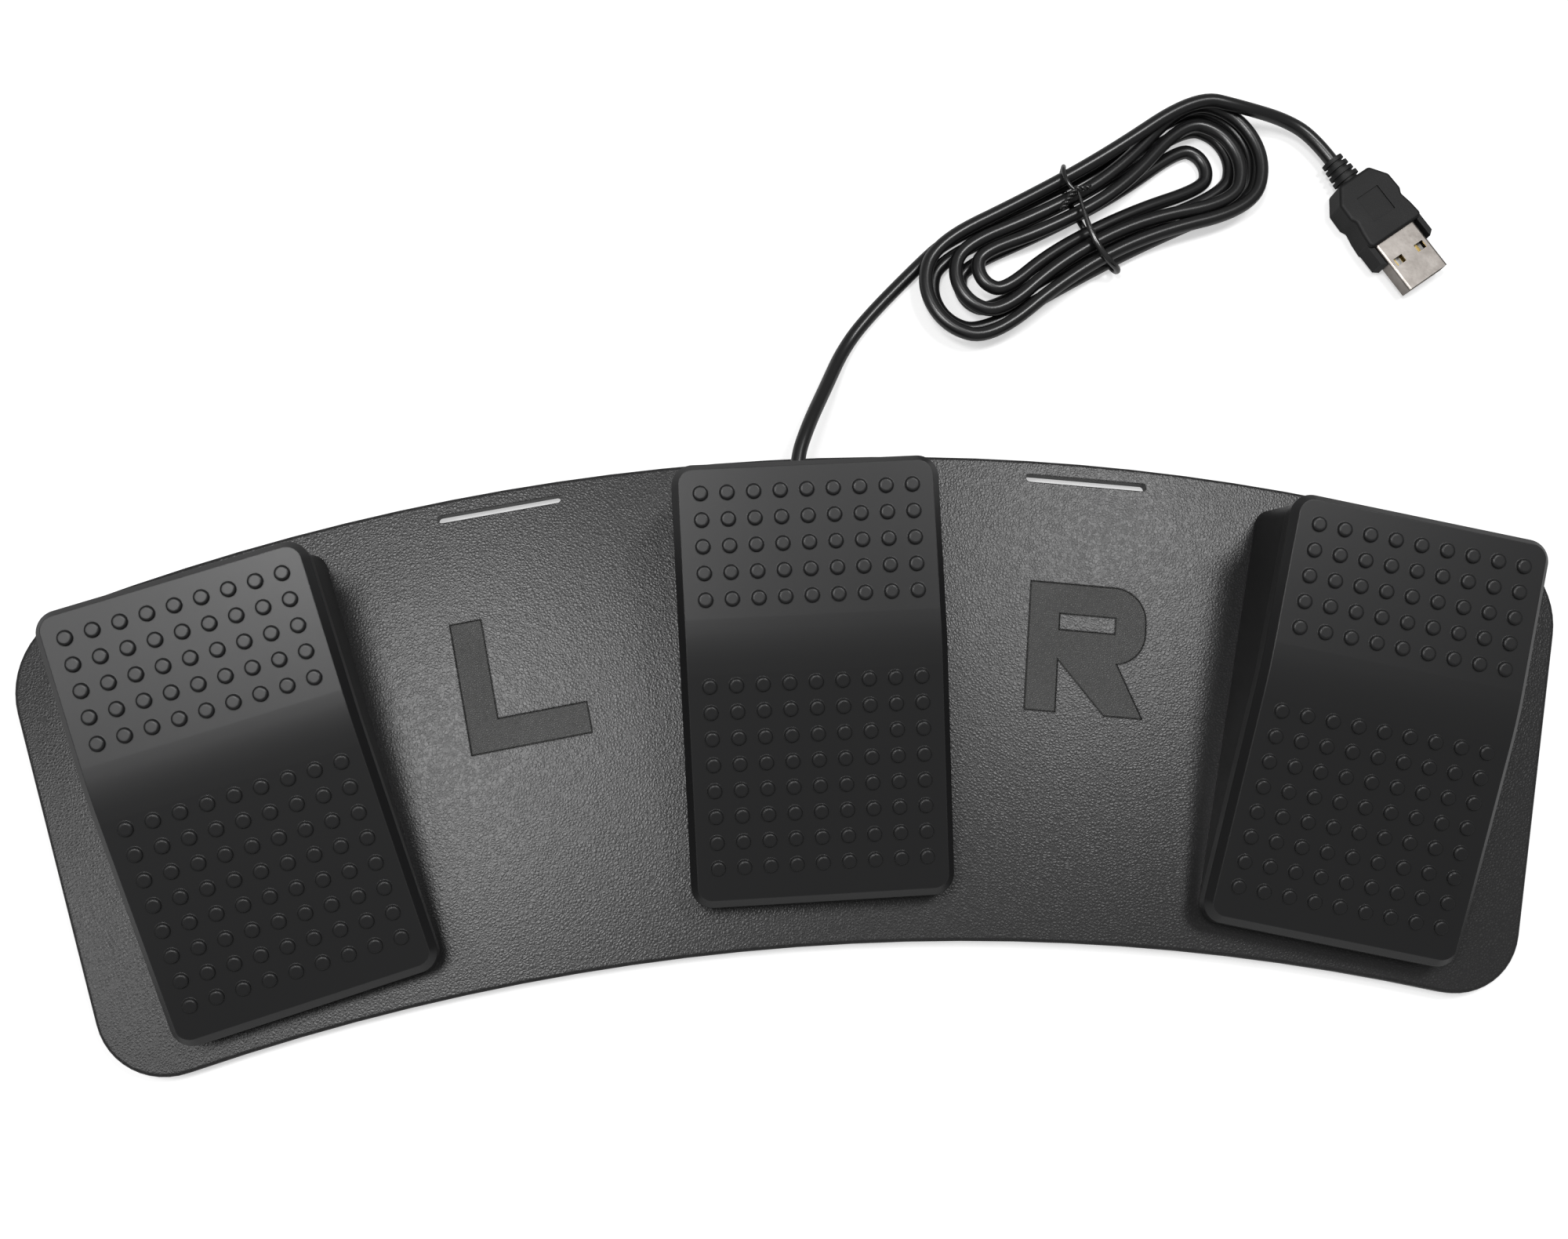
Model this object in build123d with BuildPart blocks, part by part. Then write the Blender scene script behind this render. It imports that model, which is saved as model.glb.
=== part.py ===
from build123d import *
import math
import os

# Three-pedal USB foot switch. Millimetres, +X to the right, +Y to the cord side, +Z up.
# The origin is the middle of the base plate's outline, on the floor.

# Base plate
plate_thickness = 3.0
foot_height = 2.5
back_arc_radius = 509.0
back_reach = 64.7
front_arc_radius = 518.0
front_reach = 46.1
side_reach = 170.5
back_corner_radius = 20.0
front_corner_radius = 15.7
plate_edge_radius = 0.8
overrun = 1.0

# Rubber feet
foot_diameter = 14.0
foot_edge_radius = 0.6
side_foot_inset = 22.5
side_foot_back = 6.0
side_foot_front = 44.0
middle_foot_reach = 46.0
middle_foot_back = 50.0
middle_foot_front = 32.0

# Slots for a carrying strap
slot_length = 28.2
slot_width = 1.8
slot_inset = 4.4
slot_reach = 67.8

# Left and right marks, inlaid flush
mark_height = 30.0
mark_width = 27.2
mark_stroke = 7.2
mark_depth = 0.5
mark_edge = 0.25
mark_out = 2.78
mark_back = 16.5
bowl_height = 18.0
bowl_radius = 7.6
bowl_hole_radius = 1.6
leg_width = 9.0

# Places of the three pedals on the plate
side_pedal_inset = 47.66
side_pedal_front = 0.56
side_pedal_turn = 14.64
centre_pedal_back = 16.95

# Treadle: two flat faces that meet in a soft bend
treadle_width = 57.0
treadle_near_reach = 53.6
treadle_far_reach = 38.7
bend_height = 27.0
near_slope = 17.7
far_slope = 8.0
bend_radius = 70.0
treadle_wall = 2.2
skirt_depth = 5.4
treadle_corner_radius = 4.6
rim_width = 2.0
rim_depth = 1.5

# Grip dots
dot_diameter = 3.2
dot_height = 0.8
dot_edge_radius = 0.55
dot_pitch = 5.62
dot_columns = 9
far_rows = 5
near_rows = 8
far_row_start = 10.0
near_row_start = 8.3

# Hinge
hinge_inset = 9.6
hinge_height = 5.4
pin_diameter = 2.5
pin_edge = 0.2
running_gap = 0.05
fixed_gap = 0.02
ear_radius = 2.8
ear_thickness = 2.5
ear_spread = 18.0
lug_thickness = 2.5
side_gap = 0.3
press_angle = 1.5

# Housing
housing_wall = 2.0
housing_floor = 2.0
skirt_gap = 0.8
top_play = 0.6
housing_corner_radius = 3.6
sleeve_out = 1.5
sleeve_gap = 0.4
sleeve_lean = 9.7
cord_well_room = 0.6
ledge_width = 30.0
ledge_depth = 2.6
ledge_height = 1.6
ledge_drop = 8.8
hook_width = 7.0
hook_spread = 22.0
hook_thickness = 1.8
hook_lip_height = 1.8
hook_overlap = 1.3
hook_gap = 1.2
stop_gap = 0.1

# Screws from below, four to a pedal
screw_spread = 41.0
screw_near = 26.0
screw_far = 31.0
screw_diameter = 2.8
screw_head_diameter = 5.4
screw_head_height = 1.5
screw_length = 8.0
boss_diameter = 6.0
boss_height = 8.0
screw_hole_gap = 0.2
recess_size = 1.2
recess_depth = 0.7

# Return spring
spring_back = 18.0
spring_radius = 4.1
spring_wire = 0.9
spring_turn_count = 7
spring_seat_height = 20.0
spigot_diameter = 6.2
spigot_height = 3.0
spring_boss_diameter = 10.4

# Snap switch under each treadle
switch_near = 5.0
switch_length = 19.8
switch_width = 6.4
switch_height = 9.4
switch_lift = 4.0
switch_edge = 0.5
plunger_diameter = 2.6
plunger_length = 6.0
plunger_rise = 2.6
plunger_edge = 0.4
plunger_room = 0.4
striker_diameter = 5.0
striker_gap = 0.3
cradle_length = 2.6
cradle_spread = 16.6
cradle_wall = 1.6
cradle_grip = 3.0
cradle_gap = 0.1
blade_spread = 5.0
blade_thickness = 0.6
blade_width = 3.2
blade_length = 3.0

# Circuit board in the centre housing
board_width = 34.0
board_depth = 18.0
board_thickness = 1.2
board_gap_share = 0.34
board_lift = 2.8
board_hole_diameter = 2.4
board_hole_inset = 2.4
board_screw_room = 0.2
post_diameter = 4.4
board_screw_diameter = 2.0
board_screw_length = 3.6
board_screw_head = 3.6
board_screw_head_height = 1.3
chip_length = 9.0
chip_width = 5.0
chip_height = 1.6
chip_leg_count = 6
chip_leg_width = 0.5
chip_leg_reach = 1.0
chip_leg_height = 0.5
socket_length = 5.4
socket_depth = 4.4
socket_height = 3.6
lead_socket_side = 13.4

# Wires between the pedals
wire_diameter = 1.6
wire_bend_radius = 2.2
wire_drop_near = 12.6
wire_rise = 2.2
groove_width = 2.4
groove_depth = 2.0
wire_hole_diameter = 3.2
wire_floor_gap = 0.05
cover_width = 9.0
cover_thickness = 0.4
short_wire_diameter = 1.0

# Cord gland in the centre housing's back wall
gland_height = 6.2
gland_neck_diameter = 6.0
gland_flange_diameter = 8.0
gland_flange_thickness = 1.4
gland_tail_length = 2.0
gland_tail_diameter = 5.2
gland_fit = 0.1
inner_lead_diameter = 2.4
inner_lead_run = 5.0
inner_lead_bend_radius = 5.0

# Cord, hank and tie
cord_diameter = 3.3
loop_gap = 0.75
hank_turn = 25.5
hank_middle_x = 74.3
hank_middle_y = 119.6
right_lobe_width = 14.8
right_lobe_reach = 32.5
left_lobe_width = 13.3
left_lobe_reach = 29.6
waist_width = 12.0
loop_count = 5
start_lean = 15.0
end_lean = 40.0
right_slip_shares = [0, -0.3, -0.9, -0.5, -0.1]
left_slip_shares = [0, -0.35, -0.8, -0.5, 0.05]
lead_out = 6.0
lead_in = 8.0
lead_points = [(3.4, 70.9, 10.6), (8.6, 81.5, 5.6), (13.3, 91.2, 1.9), (19.3, 98.9, 1.65)]
tail_out = 6.5
tail_in = 7.5
tail_points = [(125.4, 145.0, 4.7)]
tie_thickness = 0.8
tie_width = 1.8
tie_gap = 0.15
tie_tail_length = 9.0
tie_tail_back = 6.0
tie_tail_turn = 245.0
tie_tail_sink = 0.3

# Plug, its outline given as shares of its length and half its width
plug_x = 136.2
plug_y = 134.2
plug_turn = -58.5
plug_width = 16.0
plug_thickness = 7.8
plug_length = 17.0
plug_outline_shares = [(0, 0.57), (0.24, 0.95), (0.5, 0.97), (0.58, 0.88), (0.75, 0.95), (1, 1)]
plug_corner_radius = 1.2
plug_edge_radius = 0.8
wing_length = 5.2
wing_width = 1.3
wing_tip = 1.0
wing_thickness = 5.4
recess_length = 7.0
recess_width = 6.4
recess_near = 5.0
recess_depth_in_plug = 0.4
shell_width = 12.0
shell_height = 4.5
shell_length = 13.2
shell_wall = 0.35
shell_corner_radius = 0.7
shell_seat = 4.0
shell_hole_length = 2.0
shell_hole_width = 2.6
shell_hole_spread = 6.4
shell_hole_reach = 5.9
tongue_thickness = 1.9
tongue_gap = 0.1
tongue_inset = 0.6
contact_width = 1.0
contact_thickness = 0.2
contact_length = 7.4
contact_spread = 2.3
contact_count = 4
contact_inset = 1.2
boot_length = 6.8
boot_start_diameter = 5.4
boot_end_diameter = 6.6
boot_rib_count = 4
boot_groove = 0.7

# Worked out from the sizes above
plate_top = foot_height + plate_thickness
side_pedal_reach = side_reach - side_pedal_inset
side_foot_reach = side_reach - side_foot_inset
mark_reach = side_pedal_reach / 2 + mark_out
hinge_y = hinge_inset - treadle_near_reach
hinge_arm = -switch_near - hinge_y
board_room_near = -hinge_y - ear_radius
board_room_far = wire_drop_near + wire_hole_diameter / 2
board_slack = board_room_near - board_room_far - board_depth
board_near = board_room_far + board_gap_share * board_slack + board_depth / 2
near_rise = math.tan(math.radians(near_slope))
far_rise = math.tan(math.radians(far_slope))
press_rise = math.tan(math.radians(press_angle))
housing_near = -treadle_near_reach + treadle_wall + skirt_gap
housing_far = treadle_far_reach - treadle_wall - skirt_gap
housing_width = treadle_width - 2 * (treadle_wall + skirt_gap)
inner_half = housing_width / 2 - housing_wall
sleeve_near = housing_near - sleeve_out
sleeve_half = housing_width / 2 + sleeve_out
cord_pitch = cord_diameter + loop_gap
cord_radius = cord_diameter / 2

os.makedirs("parts", exist_ok=True)


def save(shape, name):
    shape.label = name
    export_step(shape, f"parts/{name}.step")


def deck_height(y):
    """Height of the treadle's flat faces above the plate, at a place along the pedal."""
    return bend_height + y * (near_rise if y < 0 else far_rise)


def nearest(shapes, point):
    return shapes.sort_by_distance(point)[0]


# Base plate: a bent strip between two arcs, with splayed ends
def side_crossing(arc_reach, arc_radius):
    """Where the right-hand end line meets an arc whose middle is at arc_reach."""
    lean = math.radians(side_pedal_turn)
    centre_y = arc_reach - arc_radius
    half = side_reach * math.sin(lean) - centre_y * math.cos(lean)
    rest = side_reach**2 + centre_y**2 - arc_radius**2
    along = math.sqrt(half**2 - rest) - half
    return side_reach + along * math.sin(lean), along * math.cos(lean)


back_corner_x, back_corner_y = side_crossing(back_reach, back_arc_radius)
front_corner_x, front_corner_y = side_crossing(-front_reach, front_arc_radius)

pedal_places = {
    "left": Location((-side_pedal_reach, -side_pedal_front, plate_top), (0, 0, side_pedal_turn)),
    "centre": Location((0, centre_pedal_back, plate_top)),
    "right": Location((side_pedal_reach, -side_pedal_front, plate_top), (0, 0, -side_pedal_turn)),
}
screw_spots = [(side * screw_spread / 2, y) for side in (-1, 1) for y in (-screw_near, screw_far)]
wire_x = {"left": blade_spread, "right": -blade_spread}
foot_spots = [
    (-side_foot_reach, side_foot_back),
    (side_foot_reach, side_foot_back),
    (-side_foot_reach, -side_foot_front),
    (side_foot_reach, -side_foot_front),
    (-middle_foot_reach, middle_foot_back),
    (middle_foot_reach, middle_foot_back),
    (-middle_foot_reach, -middle_foot_front),
    (middle_foot_reach, -middle_foot_front),
]


def on_pedal(side, x, y, z):
    """A place given in a pedal's own frame, in the frame of the whole part."""
    return (pedal_places[side] * Location((x, y, z))).position


# Each groove runs straight from the drop in a side pedal to the one in the centre
groove_ends = {}
for side, x in wire_x.items():
    outer = on_pedal(side, x, -wire_drop_near, 0)
    inner = on_pedal("centre", -x, -wire_drop_near, 0)
    groove_ends[side] = (outer, inner)


def groove_place(side, height):
    """The middle of a groove, turned along it, and the groove's length."""
    outer, inner = groove_ends[side]
    middle = (outer + inner) / 2
    turn = math.degrees(math.atan2(inner.Y - outer.Y, inner.X - outer.X))
    return Location((middle.X, middle.Y, height), (0, 0, turn)), (inner - outer).length


# The two marks are block shapes of their own: an angle for left, a bowl on a leg for right
with BuildSketch() as left_shape:
    with BuildLine():
        Polyline(
            (-mark_width / 2, mark_height / 2),
            (-mark_width / 2, -mark_height / 2),
            (mark_width / 2, -mark_height / 2),
            (mark_width / 2, mark_stroke - mark_height / 2),
            (mark_stroke - mark_width / 2, mark_stroke - mark_height / 2),
            (mark_stroke - mark_width / 2, mark_height / 2),
            close=True,
        )
    make_face()

bowl_middle = mark_height / 2 - bowl_height / 2
with BuildSketch() as right_shape:
    with Locations((-mark_width / 2, 0)):
        Rectangle(mark_stroke, mark_height, align=(Align.MIN, Align.CENTER))
    with Locations((-mark_width / 2, bowl_middle)):
        Rectangle(mark_width, bowl_height, align=(Align.MIN, Align.CENTER))
    bowl_corners = right_shape.vertices().group_by(Axis.X)[-1]
    fillet(bowl_corners, bowl_radius)
    with BuildLine():
        Polyline(
            (mark_width / 2, -mark_height / 2),
            (mark_width / 2 - leg_width, -mark_height / 2),
            (mark_stroke - mark_width / 2, mark_height / 2 - bowl_height),
            (mark_stroke - mark_width / 2, bowl_middle),
            (mark_stroke + leg_width - mark_width / 2, bowl_middle),
            close=True,
        )
    make_face()
    with Locations((mark_stroke - mark_width / 2, bowl_middle)):
        Rectangle(
            mark_width - 2 * mark_stroke,
            bowl_height - 2 * mark_stroke,
            align=(Align.MIN, Align.CENTER),
            mode=Mode.SUBTRACT,
        )

mark_turn = math.degrees(math.asin(mark_reach / (back_arc_radius - back_reach + mark_back)))
mark_places = {
    "left": Location((-mark_reach, mark_back, plate_top), (0, 0, mark_turn)),
    "right": Location((mark_reach, mark_back, plate_top), (0, 0, -mark_turn)),
}
mark_shapes = {"left": left_shape.sketch, "right": right_shape.sketch}
slot_turn = math.degrees(math.asin(slot_reach / (back_arc_radius - slot_inset)))

with BuildPart() as base_plate:
    with BuildSketch(Plane.XY.offset(foot_height)) as outline:
        with BuildLine():
            ThreePointArc(
                (-back_corner_x, back_corner_y), (0, back_reach), (back_corner_x, back_corner_y)
            )
            Line((back_corner_x, back_corner_y), (front_corner_x, front_corner_y))
            ThreePointArc(
                (front_corner_x, front_corner_y), (0, -front_reach), (-front_corner_x, front_corner_y)
            )
            Line((-front_corner_x, front_corner_y), (-back_corner_x, back_corner_y))
        make_face()
        corners = outline.vertices().sort_by(Axis.Y)
        fillet(corners[:2], front_corner_radius)
        fillet(outline.vertices().sort_by(Axis.X)[-1:], back_corner_radius)
        fillet(outline.vertices().sort_by(Axis.X)[:1], back_corner_radius)
    extrude(amount=plate_thickness)
    fillet(base_plate.faces().sort_by(Axis.Z)[-1].edges(), plate_edge_radius)
    # Strap slots follow the back edge
    with BuildSketch(Plane.XY.offset(foot_height)):
        for turn in (-slot_turn, slot_turn):
            radius = back_arc_radius - slot_inset
            x = radius * math.sin(math.radians(-turn))
            y = back_reach - back_arc_radius + radius * math.cos(math.radians(turn))
            with Locations(Location((x, y, 0), (0, 0, turn))):
                SlotOverall(slot_length, slot_width)
    extrude(amount=plate_thickness, mode=Mode.SUBTRACT)
    # Pockets for the marks
    for side, place in mark_places.items():
        with BuildSketch(Plane(place)):
            add(mark_shapes[side])
        extrude(amount=-mark_depth, mode=Mode.SUBTRACT)
    # Screw holes with sunk heads, and wire holes, under each pedal
    for side, place in pedal_places.items():
        with BuildSketch(Plane(place)):
            with Locations(*screw_spots):
                Circle(screw_diameter / 2 + screw_hole_gap)
        extrude(amount=-plate_thickness, mode=Mode.SUBTRACT)
        with BuildSketch(Plane(place).offset(-plate_thickness)):
            with Locations(*screw_spots):
                Circle(screw_head_diameter / 2 + screw_hole_gap)
        extrude(amount=screw_head_height, mode=Mode.SUBTRACT)
    # Wire grooves in the underside
    for side in wire_x:
        place, length = groove_place(side, foot_height)
        with BuildSketch(Plane(place)):
            SlotCenterToCenter(length, groove_width)
        extrude(amount=groove_depth, mode=Mode.SUBTRACT)
        with BuildSketch(Plane.XY.offset(foot_height)):
            for end in groove_ends[side]:
                with Locations((end.X, end.Y)):
                    Circle(wire_hole_diameter / 2)
        extrude(amount=plate_thickness, mode=Mode.SUBTRACT)
save(base_plate.part, "base_plate")

for side, place in mark_places.items():
    with BuildPart() as mark:
        with BuildSketch(Plane(place)):
            add(mark_shapes[side])
        extrude(amount=-mark_depth)
        chamfer(mark.faces().sort_by(Axis.Z)[-1].edges(), mark_edge)
    save(mark.part, f"mark_{side}")

with BuildPart() as rubber_feet:
    with BuildSketch():
        with Locations(*foot_spots):
            Circle(foot_diameter / 2)
    extrude(amount=foot_height)
    fillet(rubber_feet.edges().group_by(Axis.Z)[0], foot_edge_radius)
save(rubber_feet.part, "rubber_feet")

for side in wire_x:
    with BuildPart() as groove_cover:
        place, length = groove_place(side, foot_height - cover_thickness)
        with BuildSketch(Plane(place)):
            SlotCenterToCenter(length, cover_width)
        extrude(amount=cover_thickness)
    save(groove_cover.part, f"groove_cover_{side}")


# Treadle: a hollow lid with a skirt, ears for the hinge pin and hooks for the rest stop
def side_profile(drop, near_y, far_y, bottom):
    """Closed outline in the side plane, its top a fixed drop under the treadle's faces."""
    top = [(y, deck_height(y) - drop) for y in (near_y, 0, far_y)]
    Polyline(*top, (far_y, bottom(far_y)), (0, bottom(0)), (near_y, bottom(near_y)), close=True)


def rim_edges(solid):
    """The outer edges of the faces that look up."""
    upward_share = 0.5
    tops = solid.faces().filter_by(lambda face: face.normal_at().Z > upward_share)
    edges = [edge for face in tops for edge in face.edges()]
    return [edge for edge in edges if sum(edge.is_same(other) for other in edges) == 1]


far_plane = Plane(
    origin=(0, 0, bend_height),
    x_dir=(1, 0, 0),
    z_dir=(0, -math.sin(math.radians(far_slope)), math.cos(math.radians(far_slope))),
)
near_plane = Plane(
    origin=(0, 0, bend_height),
    x_dir=(1, 0, 0),
    z_dir=(0, -math.sin(math.radians(near_slope)), math.cos(math.radians(near_slope))),
)
ledge_front = housing_far - housing_wall - ledge_depth
ledge_bottom = deck_height(housing_far) - skirt_depth - ledge_drop
hook_back = ledge_front - hook_gap
hook_tip = ledge_front + hook_overlap
lip_top = ledge_bottom - stop_gap

plunger_top = housing_floor + switch_lift + switch_height + plunger_rise
striker_bottom = plunger_top + striker_gap


def hanging_outline(near_y, far_y, bottom):
    """Closed outline in the side plane that rises into the middle of the top wall."""
    Polyline(
        (near_y, bottom),
        (near_y, deck_height(near_y) - treadle_wall / 2),
        (far_y, deck_height(far_y) - treadle_wall / 2),
        (far_y, bottom),
        close=True,
    )


# One grip dot, rooted in the wall, and its places in two fields with a smooth band between
with BuildPart() as dot:
    Cylinder(dot_diameter / 2, 2 * dot_height)
    fillet(dot.edges().sort_by(Axis.Z)[-1], dot_edge_radius)

dots = []
for plane, rows, start, direction in (
    (far_plane, far_rows, far_row_start, 1),
    (near_plane, near_rows, near_row_start, -1),
):
    middle = direction * (start + (rows - 1) * dot_pitch / 2)
    for spot in GridLocations(dot_pitch, dot_pitch, dot_columns, rows):
        dots.append(plane.location * Pos(0, middle, 0) * spot * dot.part)

with BuildPart() as treadle:
    with BuildSketch(Plane.YZ):
        with BuildLine():
            side_profile(
                0, -treadle_near_reach, treadle_far_reach, lambda y: deck_height(y) - skirt_depth
            )
        face = make_face()
        fillet(nearest(face.vertices(), (0, bend_height, 0)), bend_radius)
    extrude(amount=treadle_width / 2, both=True)
    fillet(treadle.edges().filter_by(Axis.Z), treadle_corner_radius)
    chamfer(rim_edges(treadle.part), rim_depth, rim_width)
    # The hollow below the top wall
    inner_width = treadle_width - 2 * treadle_wall
    with BuildSketch(Plane.YZ):
        with BuildLine():
            side_profile(
                treadle_wall,
                treadle_wall - treadle_near_reach,
                treadle_far_reach - treadle_wall,
                lambda y: deck_height(y) - skirt_depth - overrun,
            )
        make_face()
    extrude(amount=inner_width / 2, both=True, mode=Mode.SUBTRACT)
    # Ears, hooks, striker and spring seat hang from the top wall
    into_wall = treadle_wall / 2
    for side in (-1, 1):
        with BuildSketch(Plane.YZ.offset(side * ear_spread)):
            with BuildLine():
                hanging_outline(hinge_y - ear_radius, hinge_y + ear_radius, hinge_height)
            make_face()
            with Locations((hinge_y, hinge_height)):
                Circle(ear_radius)
                Circle(pin_diameter / 2 + running_gap, mode=Mode.SUBTRACT)
        extrude(amount=ear_thickness / 2, both=True)
        with BuildSketch(Plane.YZ.offset(side * hook_spread / 2)):
            with BuildLine():
                hanging_outline(hook_back - hook_thickness, hook_back, lip_top - hook_lip_height)
            make_face()
            with Locations((hook_back, lip_top)):
                Rectangle(hook_tip - hook_back, hook_lip_height, align=(Align.MIN, Align.MAX))
        extrude(amount=hook_width / 2, both=True)
    with BuildSketch(Plane.XY.offset(striker_bottom)):
        with Locations((0, -switch_near)):
            Circle(striker_diameter / 2)
    extrude(amount=deck_height(-switch_near) - into_wall - striker_bottom)
    with BuildSketch(Plane.XY.offset(spring_seat_height)):
        with Locations((0, spring_back)):
            Circle(spring_boss_diameter / 2)
    extrude(amount=deck_height(spring_back) - into_wall - spring_seat_height)
    with BuildSketch(Plane.XY.offset(spring_seat_height)):
        with Locations((0, spring_back)):
            Circle(spigot_diameter / 2)
    extrude(amount=-spigot_height)
    add(dots)


# Housing: an open box under the treadle, its rim low enough for the full press
def rim_height(y):
    """Top of the housing's wall, clear of the pressed treadle's underside."""
    press = max(0, y - hinge_y) * press_rise
    return deck_height(y) - treadle_wall - top_play - press


def sleeve_height(y):
    """Top of the housing's outer sleeve, clear of the pressed treadle's skirt."""
    press = max(0, y - hinge_y) * press_rise
    return deck_height(y) - skirt_depth - press - sleeve_gap


sleeve_top = sleeve_height(treadle_far_reach)
sleeve_foot = treadle_far_reach + sleeve_top * math.tan(math.radians(sleeve_lean))
with BuildPart() as sleeve:
    with BuildSketch(Plane.YZ):
        with BuildLine():
            Polyline(
                (sleeve_near, 0),
                (sleeve_near, sleeve_height(sleeve_near)),
                (0, sleeve_height(0)),
                (treadle_far_reach, sleeve_top),
                (sleeve_foot, 0),
                close=True,
            )
        make_face()
    extrude(amount=sleeve_half, both=True)
    upright_share = 0.9
    uprights = [edge for edge in sleeve.edges() if abs((edge % 0.5).Z) > upright_share]
    fillet(uprights, housing_corner_radius)


def housing_outline(near_y, far_y, bottom, height):
    Polyline(
        (near_y, bottom),
        (near_y, height(near_y)),
        (0, height(0)),
        (far_y, height(far_y)),
        (far_y, bottom),
        close=True,
    )


lug_spread = ear_spread + ear_thickness / 2 + side_gap + lug_thickness / 2
switch_bottom = housing_floor + switch_lift
cradle_width = switch_width + 2 * (cradle_gap + cradle_wall)
screw_depth = screw_length - plate_thickness
board_bottom = housing_floor + board_lift
board_top = board_bottom + board_thickness
post_spots = [
    (x, y - board_near)
    for x in (board_hole_inset - board_width / 2, board_width / 2 - board_hole_inset)
    for y in (board_hole_inset - board_depth / 2, board_depth / 2 - board_hole_inset)
]
board_screw_spots = [spot for spot in post_spots if spot[1] < -board_near]
board_screw_depth = board_screw_length - board_thickness


def build_housing(side):
    with BuildPart() as housing:
        with BuildSketch(Plane.YZ):
            with BuildLine():
                housing_outline(housing_near, housing_far, 0, rim_height)
            make_face()
        extrude(amount=housing_width / 2, both=True)
        fillet(housing.edges().filter_by(Axis.Z), housing_corner_radius)
        add(sleeve.part)
        with BuildSketch(Plane.YZ):
            with BuildLine():
                housing_outline(
                    housing_near + housing_wall,
                    housing_far - housing_wall,
                    housing_floor,
                    lambda y: rim_height(y) + overrun,
                )
            make_face()
        extrude(amount=inner_half, both=True, mode=Mode.SUBTRACT)
        # Ledge that the treadle's hooks rest under
        with BuildSketch(Plane.XY.offset(ledge_bottom)):
            with Locations((0, ledge_front)):
                Rectangle(ledge_width, ledge_depth, align=(Align.CENTER, Align.MIN))
        extrude(amount=ledge_height)
        # Lugs that carry the hinge pin
        for across in (-1, 1):
            with BuildSketch(Plane.YZ.offset(across * lug_spread)):
                with Locations((hinge_y, 0)):
                    Rectangle(2 * ear_radius, hinge_height, align=(Align.CENTER, Align.MIN))
                with Locations((hinge_y, hinge_height)):
                    Circle(ear_radius)
                    Circle(pin_diameter / 2 + fixed_gap, mode=Mode.SUBTRACT)
            extrude(amount=lug_thickness / 2, both=True)
        # Screw bosses, spring spigot and switch cradle
        with BuildSketch():
            with Locations(*screw_spots):
                Circle(boss_diameter / 2)
        extrude(amount=boss_height)
        with BuildSketch():
            with Locations((0, spring_back)):
                Circle(spigot_diameter / 2)
        extrude(amount=housing_floor + spigot_height)
        with BuildSketch():
            with Locations((0, -switch_near)):
                with GridLocations(cradle_spread, 0, 2, 1):
                    Rectangle(cradle_length, cradle_width)
        extrude(amount=switch_bottom + cradle_grip)
        with BuildSketch(Plane.XY.offset(switch_bottom)):
            with Locations((0, -switch_near)):
                Rectangle(switch_length, switch_width + 2 * cradle_gap)
        extrude(amount=cradle_grip, mode=Mode.SUBTRACT)
        with BuildSketch():
            with Locations(*screw_spots):
                Circle(screw_diameter / 2 + fixed_gap)
        extrude(amount=screw_depth + side_gap, mode=Mode.SUBTRACT)
        # Wire holes in the floor, and in the centre the board's posts and the cord's hole
        drops = [x for name, x in wire_x.items() if name == side]
        if side == "centre":
            drops = list(wire_x.values())
            with BuildSketch():
                with Locations(*post_spots):
                    Circle(post_diameter / 2)
            extrude(amount=board_bottom)
            with BuildSketch(Plane.XY.offset(board_bottom)):
                with Locations(*board_screw_spots):
                    Circle(board_screw_diameter / 2 + fixed_gap)
            extrude(amount=-board_screw_depth - side_gap / 2, mode=Mode.SUBTRACT)
            with BuildSketch(Plane.XZ.offset(-housing_far)):
                with Locations((0, gland_height)):
                    Circle(gland_neck_diameter / 2 + gland_fit)
            extrude(amount=housing_wall, mode=Mode.SUBTRACT)
            with BuildSketch(Plane.XZ.offset(-housing_far)):
                with Locations((0, gland_height)):
                    Circle(gland_flange_diameter / 2 + cord_well_room)
            extrude(amount=housing_far - sleeve_foot, mode=Mode.SUBTRACT)
        with BuildSketch():
            with Locations(*[(x, -wire_drop_near) for x in drops]):
                Circle(wire_hole_diameter / 2)
        extrude(amount=housing_floor, mode=Mode.SUBTRACT)
    return housing.part


# Hinge pin, across both ears and both lugs
pin_length = 2 * lug_spread + lug_thickness
with BuildPart() as hinge_pin:
    with BuildSketch(Plane.YZ):
        with Locations((hinge_y, hinge_height)):
            Circle(pin_diameter / 2)
    extrude(amount=pin_length / 2, both=True)
    chamfer(hinge_pin.edges(), pin_edge)

# Return spring between the housing's floor and the treadle's seat
wire_radius = spring_wire / 2
spring_bottom = housing_floor + wire_radius + fixed_gap
spring_height = spring_seat_height - housing_floor - 2 * (wire_radius + fixed_gap)
with BuildPart() as return_spring:
    with BuildLine(Plane.XY.offset(spring_bottom)) as coil:
        Helix(pitch=spring_height / spring_turn_count, height=spring_height, radius=spring_radius)
    with BuildSketch(Plane(origin=coil.line @ 0, z_dir=coil.line % 0)):
        Circle(wire_radius)
    sweep(path=coil.line, is_frenet=True)

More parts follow.
